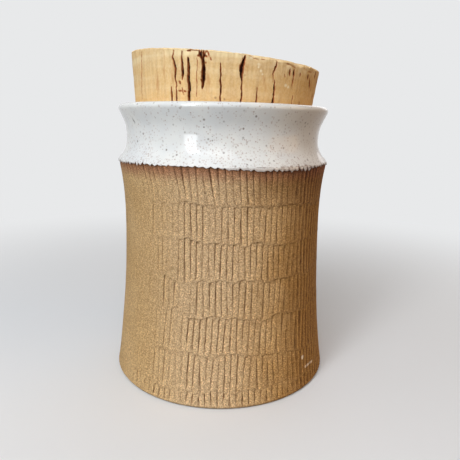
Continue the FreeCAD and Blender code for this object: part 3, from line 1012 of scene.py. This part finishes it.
    def split(self, degrees: Array, radius: Array, travel: Array) -> tuple[Array, Array]:
        """How deep each vertex lies in a crack, and how dark it is there.

        Args:
            degrees: Azimuth of each vertex.
            radius: Distance of each vertex from the cork's axis.
            travel: Way in mm up the side and on across the top to each vertex.

        Returns:
            Depth in metres and darkness from 0 to 1.
        """
        spread = np.column_stack((degrees * 0.85 * MM, travel * MM, 0 * travel))
        ragged = lumps(spread, 0.9 * MM, 12.0)
        wobble = 0.22 * lumps(spread * (0.3, 1.0, 1.0), 2.3 * MM, 13.0)
        wobble = wobble + 0.12 * lumps(spread * (0.5, 1.0, 1.0), 0.9 * MM, 14.0)
        depth, dark = np.zeros((2, len(degrees)))
        scale = math.pi / 180 * 48.5
        for crack in self.cracks():
            middle = crack.route[len(crack.route) // 2][0]
            right = signed(degrees - middle) * math.pi / 180 * radius / MM + wobble
            near = np.abs(right) < 6 + crack.width
            if not near.any():
                continue
            best, share = np.full(int(near.sum()), 1e9), np.zeros(int(near.sum()))
            for index, ends in enumerate(zip(crack.route, crack.route[1:])):
                a, b = (np.array(((end[0] - middle) * scale, end[1])) for end in ends)
                span = b - a
                offset = np.column_stack((right[near], travel[near])) - a
                t = np.clip(offset @ span / (span @ span), 0, 1)
                away = np.hypot(*(offset - t[:, None] * span).T)
                closer = away < best
                best = np.where(closer, away, best)
                share = np.where(closer, (index + t) / (len(crack.route) - 1), share)
            open_share = 1 - crack.taper * np.abs(2 * share - 1) ** 2.5
            half = np.maximum(0.16, crack.width / 2 * open_share * (1 + 0.55 * ragged[near]))
            inside = best / half
            level = np.clip(1.35 - inside, 0, 1) * crack.depth * MM * (0.4 + 0.6 * open_share)
            depth[near] = np.maximum(depth[near], level)
            tone = np.clip(1.75 - inside, 0, 1) * crack.stain
            halo = 0.28 * crack.stain * np.exp(-((best - half) / 0.55) ** 2)
            dark[near] = np.maximum(dark[near], np.maximum(tone, halo))
        return depth, dark

    def top_pits(self, x: Array, y: Array, on_top: Array) -> tuple[Array, Array]:
        """Depth and darkness of the pits across the top face, where pores come out.

        Args:
            x: Place of each vertex to the right.
            y: Place of each vertex to the back.
            on_top: Which vertices lie on the top face.

        Returns:
            Depth in metres and darkness from 0 to 1.
        """
        generator = np.random.default_rng(41)
        depth, dark = np.zeros((2, len(x)))
        for _ in range(self.pits):
            reach = 46 * MM * math.sqrt(generator.uniform(0.01, 1.0))
            bearing = generator.uniform(0, FULL_TURN)
            turn = generator.normal(0.3, 0.5)
            length = generator.uniform(0.7, 2.6) * MM
            width = length * generator.uniform(0.3, 0.6)
            deep = generator.uniform(0.3, 1.2) * MM
            dx, dy = x - reach * math.cos(bearing), y - reach * math.sin(bearing)
            away = oval(dx, dy, turn, length, width)
            depth = np.maximum(depth, np.clip(1.4 - away, 0, 1) * on_top * deep)
            stain = np.clip(1.6 - away, 0, 1) * on_top * generator.uniform(0.5, 1.0)
            dark = np.maximum(dark, stain)
        return depth, dark

    def material(self) -> bpy.types.Material:
        """Pale golden cork."""
        return NaturalCork(self).material()


# --------------------------------------------------------------------- materials

Wire = bpy.types.NodeSocket
Rgb = tuple[int, int, int]                     # a colour as it looks, from 0 to 255
Shade = tuple[float, float, float, float]      # by how much each channel is multiplied


def srgb(colour: Rgb) -> Shade:
    """A colour given as it looks, in the linear values that nodes take.

    Args:
        colour: Red, green and blue from 0 to 255.

    Returns:
        The linear channels, and 1 for the fourth.
    """
    parts = [value / 255 for value in colour]
    linear = [v / 12.92 if v <= 0.04045 else ((v + 0.055) / 1.055) ** 2.4 for v in parts]
    return (*linear, 1.0)


class Sheet:
    """A node tree, with short calls that add a node and wire it."""

    def __init__(self, tree: bpy.types.NodeTree) -> None:
        """Starts on an empty tree."""
        self.tree = tree
        tree.nodes.clear()

    def add(self, kind: str, inputs: dict[Any, Any] | None = None, **settings: Any) -> Any:
        """Adds a node.

        Args:
            kind: The node's type, without the word ShaderNode.
            inputs: Sockets by name or number, each with a value or the wire into it.
            settings: The node's own properties.

        Returns:
            The node's outputs.
        """
        node = self.tree.nodes.new("ShaderNode" + kind)
        for name, value in settings.items():
            setattr(node, name, value)
        for name, value in (inputs or {}).items():
            if isinstance(value, Wire):
                self.tree.links.new(value, node.inputs[name])
            else:
                node.inputs[name].default_value = value
        return node.outputs

    def math(self, operation: str, a: Any, b: Any, clamp: bool = False) -> Wire:
        """The result of one sum."""
        return self.add("Math", {0: a, 1: b}, operation=operation, use_clamp=clamp)[0]

    def times(self, a: Any, b: Any) -> Wire:
        """One value times another."""
        return self.math("MULTIPLY", a, b)

    def plus(self, a: Any, b: Any) -> Wire:
        """One value and another."""
        return self.math("ADD", a, b)

    def ramp(self, value: Wire, low: float, high: float, a: float = 0.0, b: float = 1.0) -> Wire:
        """A value brought smoothly from the range of low and high to that of a and b."""
        inputs = {"Value": value, "From Min": low, "From Max": high, "To Min": a, "To Max": b}
        return self.add("MapRange", inputs, interpolation_type="SMOOTHSTEP")[0]

    def mix(self, factor: Any, a: Any, b: Any, blend: str = "MIX") -> Wire:
        """Two colours mixed."""
        return self.add("Mix", {0: factor, 6: a, 7: b}, data_type="RGBA", blend_type=blend)[2]

    def noise(self, vector: Wire, scale: Any, detail: float = 2.0, roughness: float = 0.5) -> Wire:
        """Cloudy noise from 0 to 1."""
        inputs = {"Vector": vector, "Scale": scale, "Detail": detail, "Roughness": roughness}
        return self.add("TexNoise", inputs)[0]


@dataclass(frozen=True)
class Effect:
    """A node group that materials share: a Vector and numbers come in, values go out."""

    name: str
    fill: Callable[[Sheet, Any], Sequence[Wire]]
    inputs: dict[str, float]
    outputs: tuple[str, ...] = ("Mask",)

    def tree(self) -> bpy.types.NodeTree:
        """The group, which is made at its first use.

        Returns:
            The group's tree.
        """
        tree = bpy.data.node_groups.get(self.name)
        if tree:
            return tree
        tree = bpy.data.node_groups.new(self.name, "ShaderNodeTree")
        socket, number = tree.interface.new_socket, "NodeSocketFloat"
        socket("Vector", in_out="INPUT", socket_type="NodeSocketVector")
        for label, default in self.inputs.items():
            socket(label, in_out="INPUT", socket_type=number).default_value = default
        for label in self.outputs:
            socket(label, in_out="OUTPUT", socket_type=number)
        wires = self.fill(Sheet(tree), tree.nodes.new("NodeGroupInput").outputs)
        out = tree.nodes.new("NodeGroupOutput")
        for wire, label in zip(wires, self.outputs):
            tree.links.new(wire, out.inputs[label])
        return tree


def fill_specks(sheet: Sheet, given: Any) -> Sequence[Wire]:
    """Scattered round specks of many sizes, as a mask.

    Args:
        sheet: The group's tree.
        given: The group's input sockets.

    Returns:
        The mask.
    """
    cells = sheet.add("TexVoronoi", {"Vector": given["Vector"], "Scale": given["Scale"]})
    chance = sheet.add("SeparateColor", {0: cells["Color"]})
    kept = sheet.math("LESS_THAN", chance[0], given["Density"])
    size = sheet.times(given["Size"], sheet.ramp(chance[1], 0.0, 1.0, 0.35))
    near = sheet.math("SUBTRACT", 1.6, sheet.math("DIVIDE", cells["Distance"], size), clamp=True)
    return [sheet.times(sheet.times(near, sheet.ramp(chance[2], 0.0, 1.0, 0.35)), kept)]


def fill_grain(sheet: Sheet, given: Any) -> Sequence[Wire]:
    """Fine grain: a broad tone, a fine tone and a height, each from 0 to 1.

    Args:
        sheet: The group's tree.
        given: The group's input sockets.

    Returns:
        The two tones and the height.
    """
    vector = given["Vector"]
    broad = sheet.noise(vector, given["Broad"], 3.0)
    fine = sheet.noise(vector, given["Fine"], 3.0, 0.6)
    coarse = sheet.noise(vector, sheet.times(given["Fine"], 0.35))
    height = sheet.plus(sheet.times(fine, 0.6), sheet.times(coarse, 0.4))
    return [sheet.ramp(broad, 0.3, 0.7), sheet.ramp(fine, 0.3, 0.7), height]


def fill_recess(sheet: Sheet, given: Any) -> Sequence[Wire]:
    """Dark in a cut: a painted mask broken up by noise, painted shade in the clay's grooves and
    the cork's own dark in its cracks.

    Args:
        sheet: The group's tree.
        given: The group's input sockets.

    Returns:
        The mask.
    """
    share = sheet.ramp(sheet.noise(given["Vector"], 420.0), 0.25, 0.75, 0.7, 1.15)
    cut = sheet.times(given["Cut"], share)
    return [sheet.math("MULTIPLY", cut, given["Strength"], clamp=True)]


SPECKS = Effect("specks", fill_specks, {"Scale": 300.0, "Size": 0.2, "Density": 0.5})
GRAIN = Effect("grain", fill_grain, {"Broad": 40.0, "Fine": 900.0},
               ("Broad Tone", "Fine Tone", "Height"))
RECESS = Effect("recess", fill_recess, {"Cut": 0.0, "Strength": 1.0})


class Coat(Sheet):
    """A material's tree, where colours are laid one over another."""

    def __init__(self, name: str) -> None:
        """Starts a new material.

        Args:
            name: The material's name.
        """
        self.material = bpy.data.materials.new(name)
        self.material.use_nodes = True
        super().__init__(self.material.node_tree)
        self.place = self.add("TexCoord")["Object"]

    def effect(self, effect: Effect, **inputs: Any) -> Any:
        """The outputs of a shared effect with its own values."""
        return self.add("Group", {"Vector": self.place, **inputs}, node_tree=effect.tree())

    def mark(self, name: str) -> Wire:
        """A mask painted on the vertices."""
        return self.add("Attribute", attribute_name=name)["Fac"]

    def away_from(self, azimuth: float, radius: float, height: float) -> Wire:
        """How far a place lies from one given by degrees, radius and height.

        Args:
            azimuth: Degrees from +X.
            radius: Distance from the axis.
            height: Height above the origin.

        Returns:
            The distance.
        """
        turn = math.radians(azimuth)
        centre = (radius * math.cos(turn), radius * math.sin(turn), height)
        return self.add("VectorMath", {0: self.place, 1: centre}, operation="DISTANCE")["Value"]

    def lay(self, factor: Any, colour: Rgb | Shade, share: float | None = None) -> None:
        """Lays a colour over what is there, or multiplies that by a shade.

        Args:
            factor: Where it is laid, from 0 to 1.
            colour: Three channels of a colour, or four of a shade.
            share: How much of it is laid there.
        """
        factor = factor if share is None else self.times(factor, share)
        over = (srgb(colour), "MIX") if len(colour) == 3 else (colour, "MULTIPLY")
        self.colour = self.mix(factor, self.colour, *over)

    def finish(
        self, roughness: Any, height: Wire, distance: float, strength: float, shine: float = 0.5
    ) -> bpy.types.Material:
        """Wires the surface: its colour, roughness, bumps and shine.

        Args:
            roughness: From 0 for glossy to 1 for matte.
            height: The height that the bumps follow.
            distance: How high the bumps are, in metres.
            strength: How much they show, from 0 to 1.
            shine: How strongly the surface mirrors.

        Returns:
            The finished material.
        """
        bump = self.add("Bump", {"Height": height, "Distance": distance, "Strength": strength})
        shader = self.add("BsdfPrincipled", {
            "Base Color": self.colour, "Roughness": roughness, "Normal": bump[0],
            "Specular IOR Level": shine,
        })
        self.add("OutputMaterial", {"Surface": shader[0]})
        return self.material


@dataclass(frozen=True)
class BareClay:
    """Matte sandy clay, browner on one side from toasting and painted warm shade, with painted
    shade in the cuts.
    """

    sandy: Rgb = (199, 167, 121)
    warm: Rgb = (189, 156, 108)
    pinkish: Rgb = (197, 168, 132)
    warm_right_tone_and_shade: Rgb = (155, 112, 54)
    painted_shoulder_shade: Rgb = (112, 72, 36)
    under_glaze: Rgb = (150, 98, 70)
    dark_grain: Shade = (0.56, 0.50, 0.42, 1.0)
    light_grain: Shade = (1.62, 1.62, 1.60, 1.0)
    dark_speck: Shade = (0.45, 0.38, 0.32, 1.0)
    painted_foot_light: Shade = (1.09, 1.09, 1.09, 1.0)
    # painted shade in the press lines
    cut: Shade = (0.24, 0.17, 0.11, 1.0)
    lit_edge: Shade = (1.5, 1.46, 1.38, 1.0)
    # the scorched line under the glaze, with painted shadow
    scorch_and_painted_shadow: Shade = (0.22, 0.13, 0.09, 1.0)
    fleck: Rgb = (244, 228, 204)
    roughness: float = 0.86
    halo_top: float = 118.5 * MM
    halo_foot: float = 112.5 * MM
    marks: tuple[tuple[float, float, float, float], ...] = (
        (-41.5, 17.4, 59.4, 1.5), (-39.2, 11.1, 60.4, 0.95), (-38.4, 11.1, 60.4, 0.8),
        (-37.6, 11.0, 60.4, 0.9), (-36.8, 11.1, 60.4, 0.95), (-36.0, 11.1, 60.4, 0.8),
        (-35.2, 11.0, 60.4, 0.95), (-34.4, 11.0, 60.4, 0.9), (-33.6, 10.9, 60.4, 0.95),
        (-32.8, 10.9, 60.4, 0.8), (-32.0, 10.8, 60.4, 0.95), (-31.2, 10.8, 60.4, 0.9),
    )                                          # pale chips: azimuth, height, radius, size in mm

    def material(self) -> bpy.types.Material:
        """Builds the material's nodes.

        Returns:
            The finished material.
        """
        coat = Coat("bare_clay")
        place, ramp, times, noise = coat.place, coat.ramp, coat.times, coat.noise
        x, _, z = coat.add("SeparateXYZ", {0: place})
        grain = coat.effect(GRAIN, Broad=38.0, Fine=1600.0)
        coat.colour = coat.mix(grain["Broad Tone"], srgb(self.sandy), srgb(self.warm))
        coat.lay(times(ramp(x, -0.045, -0.01), ramp(x, 0.035, 0.0)), self.pinkish, 0.8)
        # browner towards the right: partly the clay's own toasting, partly painted warm shade on
        # the side away from the light
        side = coat.plus(x, times(grain["Broad Tone"], 0.012))
        coat.lay(ramp(side, 0.006, 0.056, 0.0, 0.85), self.warm_right_tone_and_shade)
        # painted light: lighter towards the foot, whose surface faces up to the light
        coat.lay(ramp(z, 0.060, 0.022), self.painted_foot_light)
        # painted shade on the upper right, under the overhanging shoulder
        high = ramp(z, 0.088, 0.116, 0.0, 0.55)
        coat.lay(times(ramp(side, 0.008, 0.045), high), self.painted_shoulder_shade)
        edge = coat.plus(z, times(noise(place, 160.0), 0.004))
        coat.lay(ramp(edge, self.halo_foot, self.halo_top + 0.002, 0.0, 0.8), self.under_glaze)
        # the sand's grains, and a few pale chips
        coat.lay(ramp(grain["Fine Tone"], 0.25, 0.85), self.dark_grain, 0.85)
        coat.lay(ramp(noise(place, 1900.0, 1.0), 0.52, 0.66, 0.0, 0.8), self.light_grain)
        specks = coat.effect(SPECKS, Scale=620.0, Size=0.22, Density=0.3)
        coat.lay(specks[0], self.dark_speck, 0.55)
        for azimuth, height, radius, size in self.marks:
            away = coat.away_from(azimuth, radius * MM, height * MM)
            coat.lay(ramp(away, size * MM, 0.5 * size * MM), self.fleck, min(1.0, 0.72 * size))
        # painted highlight, partly wear, on the edges, painted shade in the cuts, and the scorched
        # line with its painted shadow under the glaze
        coat.lay(coat.mark("lit_and_worn_edge"), self.lit_edge, 0.75)
        coat.lay(coat.effect(RECESS, Cut=coat.mark("groove"), Strength=1.0)[0], self.cut)
        broken = ramp(noise(place, 260.0), 0.3, 0.65, 0.45, 1.0)
        coat.lay(times(coat.mark("scorch_and_shadow"), broken), self.scorch_and_painted_shadow)
        return coat.finish(self.roughness, grain["Height"], 0.00035, 1.0, 0.35)


@dataclass(frozen=True)
class WhiteGlaze:
    """Glossy off-white glaze with small iron specks, closer together low down."""

    white: Rgb = (226, 226, 222)
    cool: Rgb = (214, 216, 216)
    warm_right_tone_and_shade: Rgb = (212, 202, 190)
    iron: Rgb = (92, 74, 62)
    rust: Rgb = (142, 100, 80)
    pink: Rgb = (198, 172, 158)
    bare_patch: Rgb = (116, 78, 58)
    iron_spot: Rgb = (72, 62, 56)
    roughness: float = 0.07
    speck_top: float = 138.0 * MM
    speck_foot: float = 119.0 * MM

    def material(self) -> bpy.types.Material:
        """Builds the material's nodes.

        Returns:
            The finished material.
        """
        coat = Coat("white_glaze")
        place, ramp, times, noise = coat.place, coat.ramp, coat.times, coat.noise
        x, _, z = coat.add("SeparateXYZ", {0: place})
        grain = coat.effect(GRAIN, Broad=60.0, Fine=500.0)
        coat.colour = coat.mix(grain["Broad Tone"], srgb(self.white), srgb(self.cool))
        # painted warm reflection and shade on the right side
        coat.lay(ramp(x, 0.015, 0.055, 0.0, 0.9), self.warm_right_tone_and_shade)
        crowd = ramp(noise(place, 90.0), 0.3, 0.7, 0.6, 1.3)
        low = times(ramp(z, self.speck_foot, self.speck_top, 0.8, 0.26), crowd)
        fine = coat.effect(SPECKS, Scale=1150.0, Size=0.46, Density=low)
        large = coat.effect(SPECKS, Scale=560.0, Size=0.27, Density=times(low, 0.5))
        coat.lay(fine[0], self.rust, 0.55)
        coat.lay(large[0], self.iron, 0.85)
        rim = ramp(z, 118.0 * MM, 120.6 * MM, 1.0, 0.0)
        coat.lay(times(rim, noise(place, 300.0)), self.pink)
        ragged = times(ramp(z, 118.6 * MM, 122.4 * MM, 1.0, 0.0), ramp(x, 0.012, 0.042))
        coat.lay(times(ragged, ramp(noise(place, 620.0), 0.50, 0.60)), self.bare_patch, 0.85)
        coat.lay(coat.mark("iron"), self.iron_spot, 0.85)
        dull = ramp(grain["Fine Tone"], 0.0, 1.0, self.roughness, self.roughness + 0.05)
        return coat.finish(dull, grain["Height"], 0.00002, 0.5)


@dataclass(frozen=True)
class NaturalCork:
    """Pale golden cork: level bands, upright fibres, light flecks and dark cracks."""

    cork: Cork
    pale: Rgb = (242, 219, 170)
    golden: Rgb = (226, 190, 132)
    orange: Rgb = (228, 182, 114)
    shaded_side: Rgb = (216, 168, 88)
    fibre: Rgb = (176, 124, 72)
    light_grain: Rgb = (248, 226, 184)
    crumb: Rgb = (250, 228, 186)
    stain: Rgb = (196, 132, 74)
    fleck: Rgb = (244, 226, 190)
    pore: Rgb = (140, 84, 46)
    halo: Rgb = (170, 96, 50)
    crack_colour: Rgb = (66, 30, 20)
    curls: tuple[tuple[float, float, float], ...] = (
        (-77.2, 35.0, 1.0), (-72.9, 31.4, 0.7), (-71.4, 30.0, 0.9), (-70.2, 28.6, 0.7),
        (-54.6, 25.2, 1.1), (-52.6, 24.5, 1.0),
    )                                          # azimuth, height and size in mm of pale flakes
    roughness: float = 0.8

    def material(self) -> bpy.types.Material:
        """Builds the material's nodes.

        Returns:
            The finished material.
        """
        coat, cork = Coat("natural_cork"), self.cork
        turn = Matrix.Rotation(-cork.tilt, 3, "Y")
        shift = Vector((0.0, 0.0, cork.seat_depth)) - turn @ Vector(cork.throat)
        upright = {"Vector": coat.place, "Location": shift, "Rotation": (0.0, -cork.tilt, 0.0)}
        coat.place = coat.add("Mapping", upright)[0]
        place, ramp, times, noise = coat.place, coat.ramp, coat.times, coat.noise

        def drawn_out(across: float, along: float, detail: float, roughness: float = 0.5) -> Wire:
            """Noise of its own scale across the cork and along it."""
            scaled = {"Vector": place, "Scale": (across, across, along)}
            return noise(coat.add("Mapping", scaled)[0], 1.0, detail, roughness)

        grain = coat.effect(GRAIN, Broad=70.0, Fine=1100.0)
        band = ramp(drawn_out(14.0, 210.0, 1.5), 0.34, 0.66)
        fibre = ramp(drawn_out(620.0, 70.0, 2.0), 0.35, 0.7)
        coat.colour = coat.mix(band, srgb(self.pale), srgb(self.golden))
        x, _, z = coat.add("SeparateXYZ", {0: place})
        coat.lay(ramp(z, 5 * MM, 36 * MM, 0.8, 0.0), self.orange)
        coat.lay(ramp(x, 8 * MM, 48 * MM, 0.0, 0.65), self.shaded_side)
        coat.lay(fibre, self.fibre, 0.30)
        coat.lay(grain["Fine Tone"], self.light_grain, 0.30)
        coat.lay(coat.mark("crumb"), self.crumb, 0.7)
        coat.lay(ramp(drawn_out(260.0, 60.0, 3.0, 0.55), 0.60, 0.74, 0.0, 0.55), self.stain)
        coat.lay(coat.effect(SPECKS, Scale=150.0, Size=0.10, Density=0.35)[0], self.fleck, 0.7)
        coat.lay(coat.effect(SPECKS, Scale=230.0, Size=0.12, Density=0.2)[0], self.pore, 0.6)
        for azimuth, height, size in self.curls:
            away = coat.away_from(azimuth, cork.side_radius(height * MM), height * MM)
            rough = coat.plus(away, times(noise(place, 700.0), 0.0008))
            coat.lay(ramp(rough, (size + 0.4) * MM, 0.6 * size * MM), self.fleck)
        mask = coat.effect(RECESS, Cut=coat.mark("crack"), Strength=1.0)[0]
        coat.lay(ramp(mask, 0.10, 0.50), self.halo)
        coat.lay(ramp(mask, 0.50, 0.95), self.crack_colour)
        height = coat.plus(grain["Height"], times(fibre, 0.35))
        return coat.finish(self.roughness, height, 0.0003, 0.6, 0.3)


# --------------------------------------------------------------------- studio


@dataclass(frozen=True)
class Lamp:
    """A rectangular lamp: place and size in metres, power in watts."""

    name: str
    place: tuple[float, float, float]
    size: Pair
    power: float
    colour: Rgb


@dataclass
class Studio:
    """The camera, a pale floor, a soft window light and a pale surround."""

    camera_place: tuple[float, float, float] = (0.0, -0.2610, 0.13746)
    camera_pitch: float = 0.22375
    camera_yaw: float = 0.018235
    camera_roll: float = 0.020403
    lens: float = 35.3
    sensor: float = 36.0
    floor_size: float = 6.0
    backdrop: Rgb = (232, 233, 234)
    bounce: Rgb = (90, 87, 83)
    surround_colour: Rgb = (255, 252, 246)
    surround: float = 0.19
    lamps: tuple[Lamp, ...] = (
        Lamp("window", (-0.44, -0.65, 0.36), (0.20, 0.70), 2.9, (250, 252, 255)),
        Lamp("front", (-0.38, -1.02, 0.70), (1.2, 1.2), 7.0, (244, 250, 255)),
        Lamp("high_front", (-0.20, -0.80, 1.20), (1.0, 1.0), 5.5, (248, 250, 255)),
        Lamp("left", (-1.1, 0.0, 0.55), (0.8, 0.8), 0.6, (250, 250, 255)),
        Lamp("above", (0.0, 0.1, 1.3), (1.0, 1.0), 1.4, (248, 250, 255)),
        Lamp("behind", (0.35, 1.1, 0.75), (1.0, 1.0), 2.6, (250, 250, 255)),
        Lamp("warm_side", (0.9, -0.30, 0.30), (0.7, 0.7), 1.9, (255, 190, 92)),
    )
    aim: tuple[float, float, float] = (0.0, 0.0, 0.11)

    def build(self) -> None:
        """Sets up the whole studio."""
        self.add_camera()
        self.add_floor()
        self.add_surround()
        for lamp in self.lamps:
            self.add_lamp(lamp)
        bpy.context.scene.view_settings.view_transform = "Standard"
        LOG.info("studio: camera, floor and %d lamps", len(self.lamps))

    def put(self, name: str, data: bpy.types.ID, place: Matrix) -> bpy.types.Object:
        """Adds an object to the scene and places it.

        Args:
            name: The object's name.
            data: What it shows.
            place: Where it stands and how it is turned.

        Returns:
            The object.
        """
        item = bpy.data.objects.new(name, data)
        bpy.context.scene.collection.objects.link(item)
        item.matrix_world = place
        return item

    def add_camera(self) -> None:
        """Places the camera and makes it the scene's."""
        data = bpy.data.cameras.new("camera")
        data.lens, data.sensor_width, data.clip_start = self.lens, self.sensor, 0.01
        bpy.context.scene.camera = self.put("camera", data, (
            Matrix.Translation(self.camera_place)
            @ Matrix.Rotation(-self.camera_yaw, 4, "Z")
            @ Matrix.Rotation(math.pi / 2 - self.camera_pitch, 4, "X")
            @ Matrix.Rotation(self.camera_roll, 4, "Z")
        ))

    def add_floor(self) -> None:
        """Lays a plain pale floor that fades into the surround far from the object."""
        bpy.ops.mesh.primitive_grid_add(x_subdivisions=8, y_subdivisions=8, size=self.floor_size)
        floor = bpy.context.object
        floor.name = "floor"
        coat = Coat("pale_floor")
        away = coat.add("VectorMath", {0: coat.place}, operation="LENGTH")["Value"]
        seen = self.seen(coat)
        paint = coat.mix(seen, srgb(self.bounce), srgb(self.backdrop))
        matte = coat.add("BsdfDiffuse", {"Color": paint})
        plain = coat.add("Emission", {"Color": srgb(self.backdrop), "Strength": 1.0})
        far = coat.times(coat.ramp(away, 0.12, 0.5), seen)
        mixed = coat.add("MixShader", {0: far, 1: matte[0], 2: plain[0]})
        coat.add("OutputMaterial", {"Surface": mixed[0]})
        floor.data.materials.append(coat.material)

    def seen(self, sheet: Sheet) -> Wire:
        """1 where the eye, a reflection or clear glass looks, and 0 for light on the object.

        Args:
            sheet: The tree to add the nodes to.

        Returns:
            The value.
        """
        path = sheet.add("LightPath")
        either = sheet.math("MAXIMUM", path["Is Camera Ray"], path["Is Glossy Ray"])
        return sheet.math("MAXIMUM", either, path["Is Transmission Ray"])

    def add_surround(self) -> None:
        """Sets the world: pale where it is seen, and dimmer as light."""
        world = bpy.context.scene.world = bpy.data.worlds.new("surround")
        world.use_nodes = True
        sheet = Sheet(world.node_tree)
        light, plain = (
            sheet.add("Background", {"Color": srgb(colour), "Strength": strength})[0]
            for colour, strength in ((self.surround_colour, self.surround), (self.backdrop, 1.0))
        )
        mixed = sheet.add("MixShader", {0: self.seen(sheet), 1: light, 2: plain})
        sheet.add("OutputWorld", {"Surface": mixed[0]})

    def add_lamp(self, lamp: Lamp) -> None:
        """Adds a rectangular lamp that faces the object.

        Args:
            lamp: The lamp's place, size, power and colour.
        """
        data = bpy.data.lights.new(lamp.name, "AREA")
        data.shape = "RECTANGLE"
        data.size, data.size_y = lamp.size
        data.energy = lamp.power
        data.color = srgb(lamp.colour)[:3]
        facing = (Vector(self.aim) - Vector(lamp.place)).to_track_quat("-Z", "Y")
        self.put(lamp.name, data, Matrix.Translation(lamp.place) @ facing.to_matrix().to_4x4())


def main() -> None:
    """Builds the studio and the canister's pieces."""
    logging.basicConfig(level=logging.INFO, format="%(name)s: %(message)s")
    Studio().build()
    for piece in (CarvedBody(), GlazedNeck(), Cork()):
        piece.build()


if __name__ == "__main__":
    main()
